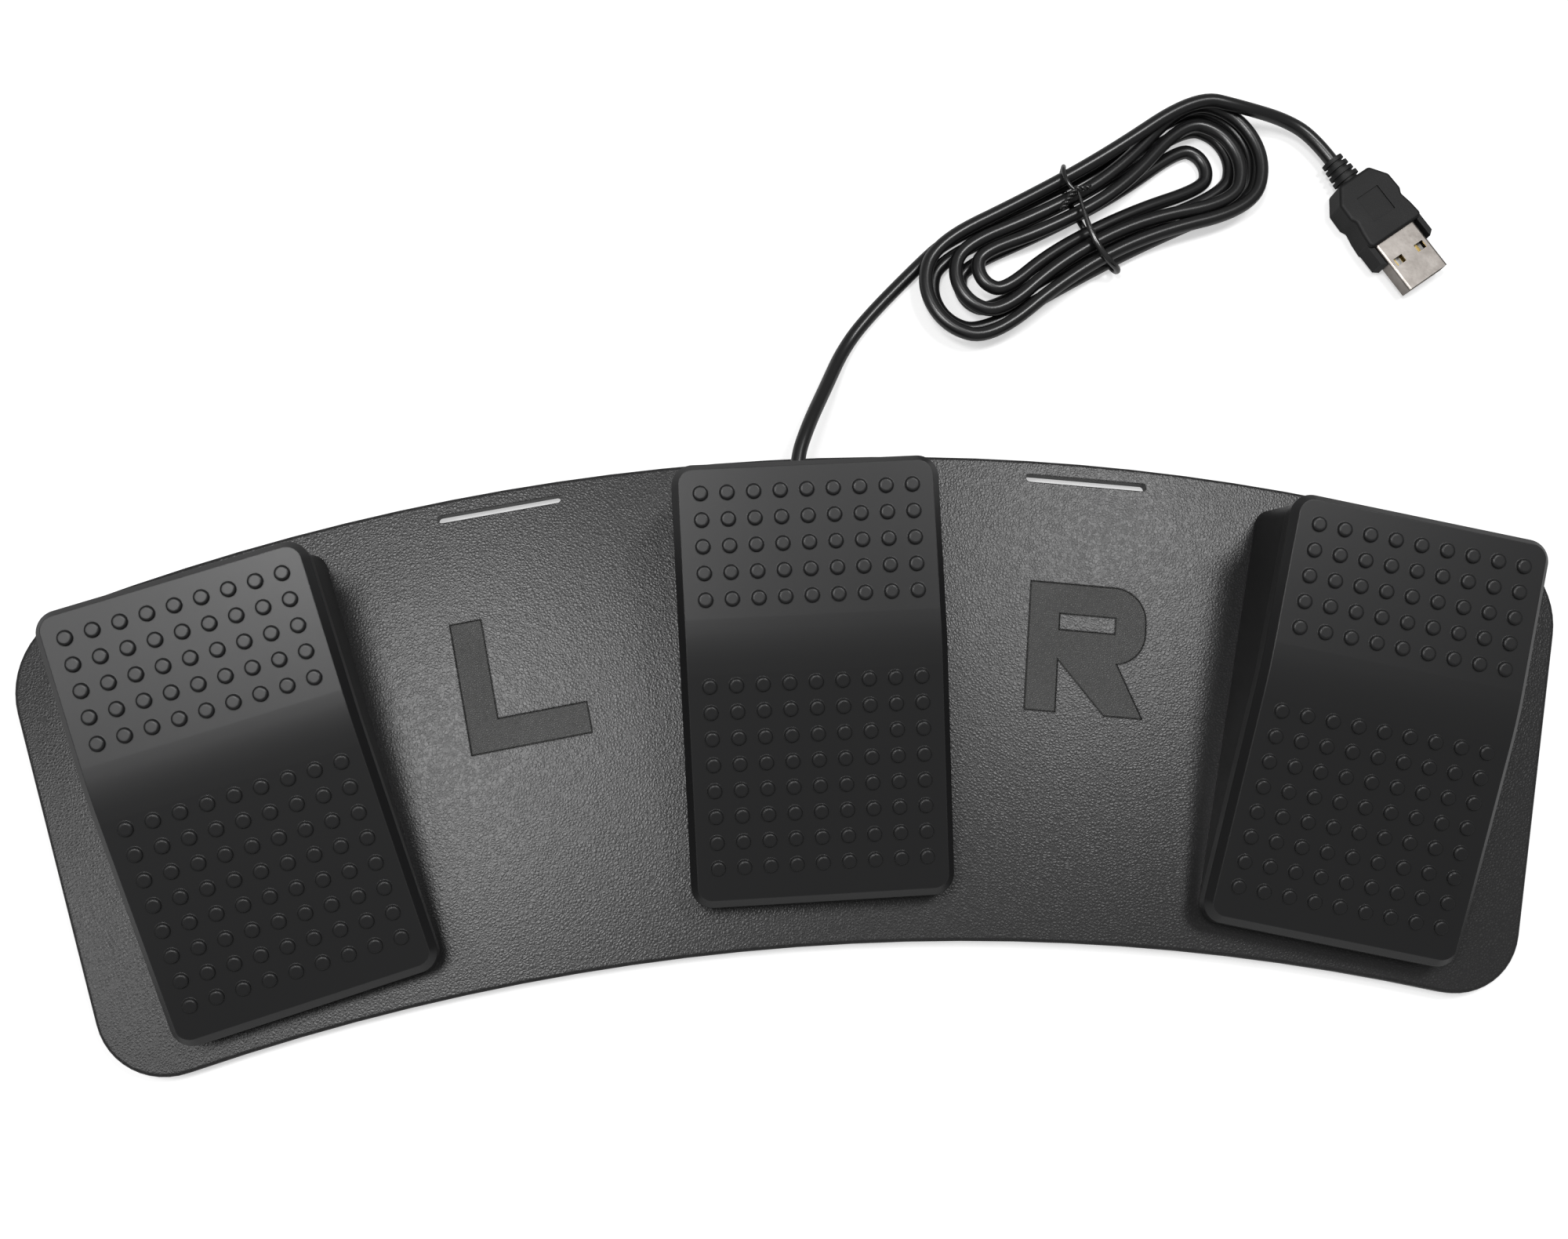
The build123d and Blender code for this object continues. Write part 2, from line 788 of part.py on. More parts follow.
# Snap switch: body, plunger and solder blades
plunger_travel = hinge_arm * math.radians(press_angle)
bore_depth = plunger_length - plunger_rise + plunger_travel + plunger_room
with BuildPart() as switch_body:
    with BuildSketch(Plane.XY.offset(switch_bottom)):
        with Locations((0, -switch_near)):
            Rectangle(switch_length, switch_width)
    extrude(amount=switch_height)
    chamfer(switch_body.edges().filter_by(Axis.Z), switch_edge)
    chamfer(switch_body.faces().sort_by(Axis.Z)[-1].edges(), switch_edge)
    with BuildSketch(Plane.XY.offset(switch_bottom + switch_height)):
        with Locations((0, -switch_near)):
            Circle(plunger_diameter / 2 + running_gap)
    extrude(amount=-bore_depth, mode=Mode.SUBTRACT)

with BuildPart() as switch_plunger:
    with BuildSketch(Plane.XY.offset(plunger_top)):
        with Locations((0, -switch_near)):
            Circle(plunger_diameter / 2)
    extrude(amount=-plunger_length)
    fillet(switch_plunger.edges().sort_by(Axis.Z)[-1], plunger_edge)

with BuildPart() as switch_blades:
    with BuildSketch(Plane.XY.offset(switch_bottom)):
        with Locations((0, -switch_near)):
            with GridLocations(blade_spread, 0, 3, 1):
                Rectangle(blade_thickness, blade_width)
    extrude(amount=-blade_length)

# Four screws, driven from below
with BuildPart() as screws:
    with BuildSketch(Plane.XY.offset(-plate_thickness)):
        with Locations(*screw_spots):
            Circle(screw_head_diameter / 2)
    extrude(amount=screw_head_height)
    with BuildSketch(Plane.XY.offset(-plate_thickness)):
        with Locations(*screw_spots):
            Circle(screw_diameter / 2)
    extrude(amount=screw_length)
    with BuildSketch(Plane.XY.offset(-plate_thickness)):
        with Locations(*screw_spots):
            Rectangle(screw_head_diameter / 2, recess_size / 2)
            Rectangle(recess_size / 2, screw_head_diameter / 2)
    extrude(amount=recess_depth, mode=Mode.SUBTRACT)

pedal_pieces = {
    "treadle": treadle.part,
    "hinge_pin": hinge_pin.part,
    "return_spring": Pos(0, spring_back, 0) * return_spring.part,
    "switch_body": switch_body.part,
    "switch_plunger": switch_plunger.part,
    "switch_blades": switch_blades.part,
    "screws": screws.part,
}
for side, place in pedal_places.items():
    save(place * build_housing(side), f"{side}_housing")
    for name, piece in pedal_pieces.items():
        save(place * piece, f"{side}_{name}")


# Circuit board in the centre housing, with its chip, sockets and screws
centre = pedal_places["centre"]
socket_near = board_near - board_depth / 2 + board_screw_room
socket_spots = [(x, -socket_near) for x in (*wire_x.values(), lead_socket_side)]
with BuildPart() as circuit_board:
    with BuildSketch(Plane.XY.offset(board_bottom)):
        with Locations((0, -board_near)):
            Rectangle(board_width, board_depth)
        with Locations(*board_screw_spots):
            Circle(board_hole_diameter / 2, mode=Mode.SUBTRACT)
    extrude(amount=board_thickness)
save(centre * circuit_board.part, "circuit_board")

with BuildPart() as controller_chip:
    with BuildSketch(Plane.XY.offset(board_top)):
        with Locations((0, -board_near)):
            with GridLocations(chip_length / chip_leg_count, 0, chip_leg_count, 1):
                Rectangle(chip_leg_width, chip_width + 2 * chip_leg_reach)
    extrude(amount=chip_leg_height)
    with BuildSketch(Plane.XY.offset(board_top)):
        with Locations((0, -board_near)):
            Rectangle(chip_length, chip_width)
    extrude(amount=chip_height)
save(centre * controller_chip.part, "controller_chip")

with BuildPart() as board_sockets:
    with BuildSketch(Plane.XY.offset(board_top)):
        with Locations(*socket_spots):
            Rectangle(socket_length, socket_depth, align=(Align.CENTER, Align.MAX))
    extrude(amount=socket_height)
save(centre * board_sockets.part, "board_sockets")

with BuildPart() as board_screws:
    with BuildSketch(Plane.XY.offset(board_top)):
        with Locations(*board_screw_spots):
            Circle(board_screw_head / 2)
    extrude(amount=board_screw_head_height)
    fillet(board_screws.edges().group_by(Axis.Z)[-1], board_screw_room)
    with BuildSketch(Plane.XY.offset(board_top)):
        with Locations(*board_screw_spots):
            Circle(board_screw_diameter / 2)
    extrude(amount=-board_screw_length)
save(centre * board_screws.part, "board_screws")


# Wires: round tubes on straight runs joined by tangent arcs
def sweep_round(path, diameter, name):
    """A round tube along a path, with its length and how well its volume fits that."""
    with BuildPart() as piece:
        with BuildSketch(Plane(origin=path @ 0, z_dir=path % 0)):
            Circle(diameter / 2)
        sweep(path=path)
    expected_volume = math.pi * (diameter / 2) ** 2 * path.length
    print(name, "length", round(path.length, 1))
    print(name, "volume against section times length", round(piece.part.volume / expected_volume, 4))
    return piece.part


def tube(points, radii, diameter, name):
    with BuildLine() as route:
        FilletPolyline(*points, radius=radii)
    save(sweep_round(route.wires()[0], diameter, name), name)


blade_face = -switch_near - blade_width / 2
wire_height = switch_bottom - blade_length / 2
groove_height = wire_diameter / 2 + wire_floor_gap - plate_thickness
socket_height_middle = board_top + socket_height / 2
for side, x in wire_x.items():
    route = [
        on_pedal(side, x, blade_face, wire_height),
        on_pedal(side, x, -wire_drop_near, wire_height),
        on_pedal(side, x, -wire_drop_near, groove_height),
        on_pedal("centre", -x, -wire_drop_near, groove_height),
        on_pedal("centre", -x, -wire_drop_near, socket_height_middle),
        on_pedal("centre", -x, -socket_near, socket_height_middle),
    ]
    tube(route, wire_bend_radius, wire_diameter, f"{side}_wire")

with BuildPart() as centre_wire:
    with BuildSketch(Plane.XZ.offset(-blade_face)):
        with Locations((0, board_bottom + board_thickness / 2)):
            Circle(short_wire_diameter / 2)
    extrude(amount=blade_face + board_near - board_depth / 2)
save(centre * centre_wire.part, "centre_wire")

# Gland: a grooved plug in the back wall with a tapered tail over the cord
gland_inner_end = housing_far - housing_wall - gland_flange_thickness
gland_outer_end = housing_far + gland_flange_thickness
gland_end = gland_outer_end + gland_tail_length
with BuildPart() as cord_gland:
    with BuildSketch(Plane.YZ):
        with BuildLine():
            Polyline(
                (gland_inner_end, gland_height),
                (gland_inner_end, gland_height + gland_flange_diameter / 2),
                (housing_far - housing_wall, gland_height + gland_flange_diameter / 2),
                (housing_far - housing_wall, gland_height + gland_neck_diameter / 2),
                (housing_far, gland_height + gland_neck_diameter / 2),
                (housing_far, gland_height + gland_flange_diameter / 2),
                (gland_outer_end, gland_height + gland_flange_diameter / 2),
                (gland_outer_end, gland_height + gland_neck_diameter / 2),
                (gland_end, gland_height + gland_tail_diameter / 2),
                (gland_end, gland_height),
                close=True,
            )
        make_face()
    revolve(axis=Axis((0, 0, gland_height), (0, 1, 0)))
save(centre * cord_gland.part, "cord_gland")

inner_lead_route = [
    on_pedal("centre", 0, gland_inner_end, gland_height),
    on_pedal("centre", 0, gland_inner_end - inner_lead_run, gland_height),
    on_pedal("centre", lead_socket_side, spring_back, gland_height),
    on_pedal("centre", lead_socket_side, -wire_drop_near, socket_height_middle),
    on_pedal("centre", lead_socket_side, -socket_near, socket_height_middle),
]
tube(inner_lead_route, inner_lead_bend_radius, inner_lead_diameter, "inner_lead")


# Cord: a free lead to the floor, a tied hank and a short tail to the plug
def bend_radii(points, name):
    """The largest arc at each corner that leaves a straight bit between neighbours."""
    run_share = 0.45
    radii = []
    for before, here, after in zip(points, points[1:], points[2:]):
        first = Vector(*here) - Vector(*before)
        second = Vector(*after) - Vector(*here)
        half_turn = math.radians(first.get_angle(second)) / 2
        radii.append(run_share * min(first.length, second.length) / math.tan(half_turn))
    print(name, "radii in diameters", [round(radius / cord_diameter, 1) for radius in radii])
    return radii


hank_place = Location((hank_middle_x, hank_middle_y, 0), (0, 0, hank_turn))


class Station:
    """A point of the hank's path, in the hank's own frame, with the way the cord runs there."""

    def __init__(self, along, across, height, heading, climb=0):
        turned = math.radians(heading)
        self.place = Vector(along, across, height)
        self.way = Vector(math.cos(turned), math.sin(turned), climb).normalized()


low_layer = cord_radius
high_layer = low_layer + cord_pitch
tie_rise = tie_thickness + tie_gap


def hank_stations():
    """Loops that spiral in on the low layer and out again on the high one."""
    lean = math.radians(start_lean)
    stations = [
        Station(
            -left_lobe_reach - left_lobe_width * math.sin(lean),
            left_lobe_width * math.cos(lean),
            low_layer,
            start_lean,
        )
    ]
    last_strand = 2 * loop_count
    for strand in range(last_strand + 1):
        inset = min(strand, last_strand - strand) * cord_pitch / 2
        layer = low_layer if strand < loop_count else high_layer
        next_layer = low_layer if strand + 1 <= loop_count else high_layer
        side = 1 if strand % 2 == 0 else -1
        climbs = strand == loop_count
        start = low_layer if climbs else layer
        end = high_layer if climbs else layer
        waist_height = (start + end) / 2 + tie_rise
        waist = Station(0, side * (waist_width - inset), waist_height, 0 if side > 0 else 180)
        if climbs:
            waist.way = Vector(side, 0, cord_pitch / right_lobe_reach / 2).normalized()
        stations.append(waist)
        if strand == last_strand:
            break
        turn = strand // 2
        if side > 0:
            slip = right_slip_shares[turn] * cord_pitch
            along, width, way = right_lobe_reach + slip, right_lobe_width, 0
        else:
            slip = left_slip_shares[turn] * cord_pitch
            along, width, way = -left_lobe_reach - slip, left_lobe_width, 180
        next_inset = min(strand + 1, last_strand - strand - 1) * cord_pitch / 2
        stations.append(Station(along, side * (width - inset), end, way))
        stations.append(Station(along, -side * (width - next_inset), end, 180 - way))
    lean = math.radians(end_lean)
    stations.append(
        Station(
            right_lobe_reach + right_lobe_width * math.sin(lean),
            right_lobe_width * math.cos(lean),
            high_layer,
            -end_lean,
        )
    )
    return stations


def joined_arcs(first, second):
    """Two arcs that run smoothly into each other between two stations."""
    gap = second.place - first.place
    reach = gap.dot(first.way + second.way)
    spread = 2 * (1 - first.way.dot(second.way))
    handle = gap.dot(gap) / (reach + math.sqrt(reach**2 + spread * gap.dot(gap)))
    knee = first.place + first.way * handle
    other_knee = second.place - second.way * handle
    joint = (knee + other_knee) / 2
    TangentArc(first.place, joint, tangent=first.way)
    TangentArc(joint, second.place, tangent=other_knee - knee)


def least_gap(path, diameter):
    """The least space between two stretches of a tube, measured on points along it."""
    steps_per_edge = 8
    edges = path.edges()
    points = []
    run = 0
    for edge in edges:
        for step in range(steps_per_edge):
            share = step / steps_per_edge
            points.append((run + share * edge.length, tuple(edge @ share)))
        run += edge.length
    apart = 5 * diameter
    return min(
        math.dist(here, there)
        for index, (start, here) in enumerate(points)
        for stop, there in points[index + 1 :]
        if stop - start > apart
    ) - diameter


stations = hank_stations()
first_station, last_station = stations[0], stations[-1]
start_in_hank = first_station.place - first_station.way * cord_diameter
end_in_hank = last_station.place + last_station.way * cord_diameter
with BuildLine() as hank_line:
    Line(start_in_hank, first_station.place)
    for first, second in zip(stations, stations[1:]):
        joined_arcs(first, second)
    Line(last_station.place, end_in_hank)
hank_path = hank_line.wires()[0]
tightest = min(edge.radius for edge in hank_path.edges().filter_by(GeomType.CIRCLE))
print("cord_hank least gap", round(least_gap(hank_path, cord_diameter), 2))
print("cord_hank tightest radius in diameters", round(tightest / cord_diameter, 2))
save(hank_place * sweep_round(hank_path, cord_diameter, "cord_hank"), "cord_hank")

# The lead meets the gland and the hank face to face, and the tail the hank and the boot
hank_start = (hank_place * Location(start_in_hank)).position
hank_end = (hank_place * Location(end_in_hank)).position
start_way = first_station.way.rotate(Axis.Z, hank_turn)
end_way = last_station.way.rotate(Axis.Z, hank_turn)
gland_mouth = on_pedal("centre", 0, gland_end, gland_height)
plug_start = Vector(plug_x, plug_y, plug_thickness / 2)
plug_way = Vector(1, 0, 0).rotate(Axis.Z, plug_turn)
lead_route = [
    gland_mouth,
    gland_mouth + Vector(0, lead_out, 0),
    *lead_points,
    hank_start - start_way * lead_in,
    hank_start,
]
tail_route = [
    hank_end,
    hank_end + end_way * tail_out,
    *tail_points,
    plug_start - plug_way * tail_in,
    plug_start,
]
tube(lead_route, bend_radii(lead_route, "cord_lead"), cord_diameter, "cord_lead")
tube(tail_route, bend_radii(tail_route, "cord_tail"), cord_diameter, "cord_tail")

# Tie: a flat band round the hank's waist with a twisted end on top
tie_low = cord_pitch / 2 - waist_width - cord_radius - tie_gap
tie_high = waist_width + cord_radius + tie_gap
tie_span = tie_high - tie_low
tie_inner_top = high_layer + tie_rise + cord_radius + tie_gap
tie_top = tie_inner_top + tie_thickness
tie_corner_radius = cord_radius + tie_gap
with BuildPart() as hank_tie:
    with BuildSketch(Plane.YZ):
        with Locations(((tie_low + tie_high) / 2, tie_top / 2)):
            RectangleRounded(tie_span + 2 * tie_thickness, tie_top, tie_corner_radius + tie_thickness)
            RectangleRounded(
                tie_span, tie_top - 2 * tie_thickness, tie_corner_radius, mode=Mode.SUBTRACT
            )
    extrude(amount=tie_width / 2, both=True)
    tail_origin = (0, tie_tail_back, tie_top + tie_width / 2 - tie_tail_sink)
    with BuildSketch(Plane(origin=tail_origin, z_dir=Vector(1, 0, 0).rotate(Axis.Z, tie_tail_turn))):
        Circle(tie_width / 2)
    extrude(amount=tie_tail_length)
save(hank_place * hank_tie.part, "hank_tie")

# Plug: a ribbed boot, a moulded body with two wings, a metal shell, its tongue and contacts
plug_place = Location(plug_start, (0, 0, plug_turn))
rib_pitch = boot_length / boot_rib_count
boot_outline = [(0, 0)]
for rib in range(boot_rib_count):
    grown = (boot_end_diameter - boot_start_diameter) * rib / (boot_rib_count - 1)
    radius = (boot_start_diameter + grown) / 2
    rib_end = (rib + 1) * rib_pitch
    boot_outline += [
        (rib * rib_pitch, radius),
        (rib_end - boot_groove, radius),
        (rib_end - boot_groove, radius - boot_groove),
        (rib_end, radius - boot_groove),
    ]
boot_outline.append((boot_length, 0))
with BuildPart() as plug_boot:
    with BuildSketch():
        with BuildLine():
            Polyline(*boot_outline, close=True)
        make_face()
    revolve(axis=Axis.X)
save(plug_place * plug_boot.part, "plug_boot")

plug_front = boot_length + plug_length
seat_back = plug_front - shell_seat
half_outline = [
    (boot_length + along * plug_length, across * plug_width / 2)
    for along, across in plug_outline_shares
]
with BuildPart() as plug_body:
    with BuildSketch(Plane.XY.offset(-plug_thickness / 2)) as plug_outline:
        with BuildLine():
            Polyline(*half_outline, *[(x, -y) for x, y in reversed(half_outline)], close=True)
        make_face()
        fillet(plug_outline.vertices(), plug_corner_radius)
    extrude(amount=plug_thickness)
    fillet(plug_body.faces().sort_by(Axis.Z)[-1].edges(), plug_edge_radius)
    fillet(plug_body.faces().sort_by(Axis.Z)[0].edges(), plug_edge_radius)
    with BuildSketch(Plane.XY.offset(plug_thickness / 2)):
        with Locations((boot_length + recess_near, 0)):
            Rectangle(recess_length, recess_width, align=(Align.MIN, Align.CENTER))
    extrude(amount=-recess_depth_in_plug, mode=Mode.SUBTRACT)
    for side in (-1, 1):
        with BuildSketch(Plane.XY.offset(-wing_thickness / 2)):
            with BuildLine():
                Polyline(
                    (plug_front - shell_seat, side * (plug_width / 2 - wing_width)),
                    (plug_front + wing_length, side * (plug_width / 2 - wing_width)),
                    (plug_front + wing_length - wing_tip, side * plug_width / 2),
                    (plug_front - wing_width, side * plug_width / 2),
                    close=True,
                )
            make_face()
        extrude(amount=wing_thickness)
    with BuildSketch(Plane.YZ.offset(seat_back)):
        RectangleRounded(
            shell_width + 2 * fixed_gap, shell_height + 2 * fixed_gap, shell_corner_radius + fixed_gap
        )
    extrude(amount=shell_seat, mode=Mode.SUBTRACT)
save(plug_place * plug_body.part, "plug_body")

with BuildPart() as plug_shell:
    with BuildSketch(Plane.YZ.offset(seat_back)):
        RectangleRounded(shell_width, shell_height, shell_corner_radius)
        RectangleRounded(
            shell_width - 2 * shell_wall,
            shell_height - 2 * shell_wall,
            shell_corner_radius - shell_wall,
            mode=Mode.SUBTRACT,
        )
    extrude(amount=shell_seat + shell_length)
    with BuildSketch():
        with Locations((plug_front + shell_hole_reach, 0)):
            with GridLocations(0, shell_hole_spread, 1, 2):
                Rectangle(shell_hole_length, shell_hole_width)
    extrude(amount=shell_height, both=True, mode=Mode.SUBTRACT)
save(plug_place * plug_shell.part, "plug_shell")

tongue_width = shell_width - 2 * (shell_wall + shell_corner_radius)
tongue_bottom = shell_wall - shell_height / 2
tongue_top = tongue_bottom + tongue_thickness
with BuildPart() as plug_tongue:
    with BuildSketch(Plane.XY.offset(tongue_bottom)):
        with Locations((seat_back, 0)):
            Rectangle(
                shell_seat + shell_length - tongue_inset, tongue_width, align=(Align.MIN, Align.CENTER)
            )
    extrude(amount=tongue_thickness)
    with BuildSketch(Plane.XY.offset(tongue_bottom)):
        with Locations((seat_back, 0)):
            Rectangle(shell_seat, tongue_width, align=(Align.MIN, Align.CENTER))
    extrude(amount=shell_height - 2 * shell_wall - tongue_gap)
save(plug_place * plug_tongue.part, "plug_tongue")

with BuildPart() as plug_contacts:
    with BuildSketch(Plane.XY.offset(tongue_top)):
        with Locations((plug_front + shell_length - tongue_inset - contact_inset - contact_length / 2, 0)):
            with GridLocations(0, contact_spread, 1, contact_count):
                Rectangle(contact_length, contact_width)
    extrude(amount=contact_thickness)
save(plug_place * plug_contacts.part, "plug_contacts")
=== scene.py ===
import math

import bpy
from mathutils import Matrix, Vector


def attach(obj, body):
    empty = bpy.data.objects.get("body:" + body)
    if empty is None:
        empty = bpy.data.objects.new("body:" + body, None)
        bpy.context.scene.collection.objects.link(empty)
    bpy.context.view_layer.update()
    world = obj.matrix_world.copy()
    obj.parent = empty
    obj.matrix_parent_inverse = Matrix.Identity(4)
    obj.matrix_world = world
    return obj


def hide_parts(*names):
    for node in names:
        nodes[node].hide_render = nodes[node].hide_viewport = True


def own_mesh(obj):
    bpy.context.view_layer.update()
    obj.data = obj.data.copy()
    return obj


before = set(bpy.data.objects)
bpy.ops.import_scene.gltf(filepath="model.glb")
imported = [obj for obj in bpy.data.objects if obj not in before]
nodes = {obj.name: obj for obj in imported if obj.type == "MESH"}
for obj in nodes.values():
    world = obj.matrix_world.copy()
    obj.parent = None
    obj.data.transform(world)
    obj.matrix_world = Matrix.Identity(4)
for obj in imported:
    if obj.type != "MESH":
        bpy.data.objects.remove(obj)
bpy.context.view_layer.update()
mm = 0.001
sides = ("left", "centre", "right")


# Camera, at the photograph's own angle
camera = {
    "place": (-0.028007, -0.040073, 0.381103),
    "turn": (10.29675, -2.96916, -3.42220),
    "lens": 38.644,
    "sensor": 36.0,
}


def addCamera():
    data = bpy.data.cameras.new("photoCamera")
    data.lens = camera["lens"]
    data.sensor_width = camera["sensor"]
    data.clip_start = 0.01
    data.clip_end = 20.0
    made = bpy.data.objects.new("photoCamera", data)
    made.location = camera["place"]
    made.rotation_euler = [math.radians(angle) for angle in camera["turn"]]
    bpy.context.scene.collection.objects.link(made)
    bpy.context.scene.camera = made


addCamera()
print("camera placed")


# Cord: one spline from the gland, through the tied hank, to the plug's boot
cord = {
    "diameter": 3.3,
    "loopGap": 0.75,
    "hankMiddle": (74.3, 119.6),
    "hankTurn": 25.5,
    "rightWidth": 14.8,
    "rightReach": 32.5,
    "leftWidth": 13.3,
    "leftReach": 29.6,
    "waistWidth": 12.0,
    "loops": 5,
    "startLean": 15.0,
    "endLean": 40.0,
    "rightSlips": (0, -0.3, -0.9, -0.8, -0.4),
    "leftSlips": (0.4, -0.3, -1.3, -0.85, 0.1),
    "rightLeans": (1.0, 0.8, 0.4, 1.0, 1.5),
    "leftLeans": (0.5, 0.2, -0.8, -1.3, -1.8),
    "highTuck": 0.7,
    "lastRise": 2.1,
    "endRise": 4.4,
    "outRise": 3.6,
    "highRightWiden": 4.2,
    "highLeftWiden": 1.3,
    "tieRise": 0.95,
    "waistSpread": 11.0,
    "lead": (
        (0, 56.05, 11.7), (0, 62.05, 11.7), (3.4, 70.9, 10.6),
        (8.6, 81.5, 5.6), (13.3, 91.2, 1.9), (19.3, 98.9, 1.65),
    ),
    "leadIn": 8.0,
    "tailOut": 6.5,
    "tail": ((125.4, 145.0, 4.7),),
    "tailIn": 7.5,
    "plugStart": (136.2, 134.2, 3.9),
    "plugTurn": -58.5,
    "lobeAngles": (67.5, 22.5, -22.5, -67.5),
    "bevelSteps": 6,
    "splineSteps": 10,
    "splineOrder": 3,
    "length": 1.09,
}
cordPitch = cord["diameter"] + cord["loopGap"]
lowLayer = cord["diameter"] / 2
highLayer = lowLayer + cordPitch


# A point in the hank's own frame, in the row frame, in millimetres
def fromHank(u, v, z):
    turn = math.radians(cord["hankTurn"])
    middleX, middleY = cord["hankMiddle"]
    x = u * math.cos(turn) - v * math.sin(turn) + middleX
    y = u * math.sin(turn) + v * math.cos(turn) + middleY
    return (x, y, z)


# Four control points that carry the cord round one end of the hank
def lobePoints(along, sign, startWidth, endWidth, height, lean):
    radius = (startWidth + endWidth) / 2 / math.cos(math.radians(cord["lobeAngles"][1]))
    middle = sign * (startWidth - endWidth) / 2 + lean
    made = []
    for angle in cord["lobeAngles"]:
        reach = sign * radius * math.cos(math.radians(angle))
        across = sign * radius * math.sin(math.radians(angle))
        made.append(fromHank(along + reach, middle + across, height))
    return made


# Loops that spiral in on the low layer and out again on the high one
def hankPoints():
    lastStrand = 2 * cord["loops"]
    startLean = math.radians(cord["startLean"])
    endLean = math.radians(cord["endLean"])
    leftWidth, rightWidth = cord["leftWidth"], cord["rightWidth"]
    startU = -cord["leftReach"] - leftWidth * math.sin(startLean)
    startV = leftWidth * math.cos(startLean)
    endU = cord["rightReach"] + rightWidth * math.sin(endLean)
    endV = rightWidth * math.cos(endLean)
    back = cord["leadIn"]
    made = [
        fromHank(startU - back * math.cos(startLean), startV - back * math.sin(startLean), lowLayer),
        fromHank(startU + (leftWidth - startV) / math.tan(startLean), leftWidth, lowLayer),
    ]
    for strand in range(lastStrand + 1):
        inset = min(strand, lastStrand - strand) * cordPitch / 2
        nextInset = min(strand + 1, lastStrand - strand - 1) * cordPitch / 2
        sign = 1 if strand % 2 == 0 else -1
        layer = lowLayer if strand < cord["loops"] else highLayer
        climb = 0
        if strand == cord["loops"]:
            layer = (lowLayer + highLayer) / 2
            climb = cordPitch / cord["rightReach"] / 2 * cord["waistSpread"]
        tuck = cord["highTuck"] if strand > cord["loops"] and strand < lastStrand else 0
        across = sign * (cord["waistWidth"] - inset - tuck)
        for step in (-1, 1):
            along = sign * step * cord["waistSpread"]
            rise = cord["lastRise"] if strand == lastStrand and step > 0 else 0
            made.append(fromHank(along, across, layer + cord["tieRise"] + step * climb + rise))
        if strand == lastStrand:
            break
        high = strand >= cord["loops"]
        end = highLayer if high else lowLayer
        if sign > 0:
            along = cord["rightReach"] + cord["rightSlips"][strand // 2] * cordPitch
            width = rightWidth + (cord["highRightWiden"] if high else 0)
            lean = cord["rightLeans"][strand // 2]
        else:
            along = -cord["leftReach"] - cord["leftSlips"][strand // 2] * cordPitch
            width = leftWidth + (cord["highLeftWiden"] if high else 0)
            lean = cord["leftLeans"][strand // 2]
        made += lobePoints(along, sign, width - inset, width - nextInset, end, lean)
    bendU = endU - (rightWidth - endV) / math.tan(endLean)
    made.append(fromHank(bendU, rightWidth, highLayer + cord["endRise"]))
    out = cord["tailOut"]
    outU, outV = endU + out * math.cos(endLean), endV - out * math.sin(endLean)
    made.append(fromHank(outU, outV, highLayer + cord["outRise"]))
    return made


# A point straight behind the plug's boot
def plugPoint(back):
    turn = math.radians(cord["plugTurn"])
    x, y, z = cord["plugStart"]
    return (x - back * math.cos(turn), y - back * math.sin(turn), z)


def addCord(material):
    route = [*cord["lead"], *hankPoints(), *cord["tail"], plugPoint(cord["tailIn"]), plugPoint(0)]
    data = bpy.data.curves.new("usbCord", "CURVE")
    data.dimensions = "3D"
    data.bevel_depth = cord["diameter"] / 2 * mm
    data.bevel_resolution = cord["bevelSteps"]
    data.resolution_u = cord["splineSteps"]
    data.use_fill_caps = True
    spline = data.splines.new("NURBS")
    spline.points.add(len(route) - 1)
    for point, place in zip(spline.points, route):
        point.co = (*[value * mm for value in place], 1)
    spline.order_u = cord["splineOrder"]
    spline.use_endpoint_u = True
    data.materials.append(material)
    made = bpy.data.objects.new("usbCord", data)
    bpy.context.scene.collection.objects.link(made)
    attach(made, "base")
    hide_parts("cord_lead", "cord_hank", "cord_tail")
    return made, route


# Tie: a twisted strip round the hank's waist, with its two ends wound together
tie = {
    "strip": (
        (-0.3, 6.6, 10.5, 0.55), (-1.2, 3.0, 10.3, 0.65), (-2.2, -1.5, 10.0, 0.95), (-2.7, -6.0, 9.7, 1.15),
        (-2.0, -10.6, 8.6, 1.1), (0.2, -13.2, 6.0, 1.1), (0.8, -13.4, 3.2, 1.0), (0.6, -11.5, 1.1, 1.0),
        (0.0, 0.0, 0.9, 1.0), (0.3, 12.0, 1.1, 1.0), (1.6, 14.6, 3.4, 1.0), (1.6, 14.9, 6.6, 0.9),
        (0.2, 14.2, 9.6, 0.8), (-1.2, 12.2, 10.8, 0.75), (-1.6, 9.4, 10.9, 0.65), (-0.9, 7.2, 10.7, 0.6),
    ),
    "stripRadius": 0.72,
    "windStart": (-0.8, 7.4, 11.0),
    "windEnds": ((-6.0, 4.6, 10.6), (3.0, 6.2, 10.6)),
    "windRadius": 0.42,
    "windSwing": 0.4,
    "windTurns": (2.6, 1.6),
    "windSteps": 26,
    "windTaper": 0.3,
    "bevelSteps": 4,
    "splineSteps": 8,
    "splineOrder": 4,
}


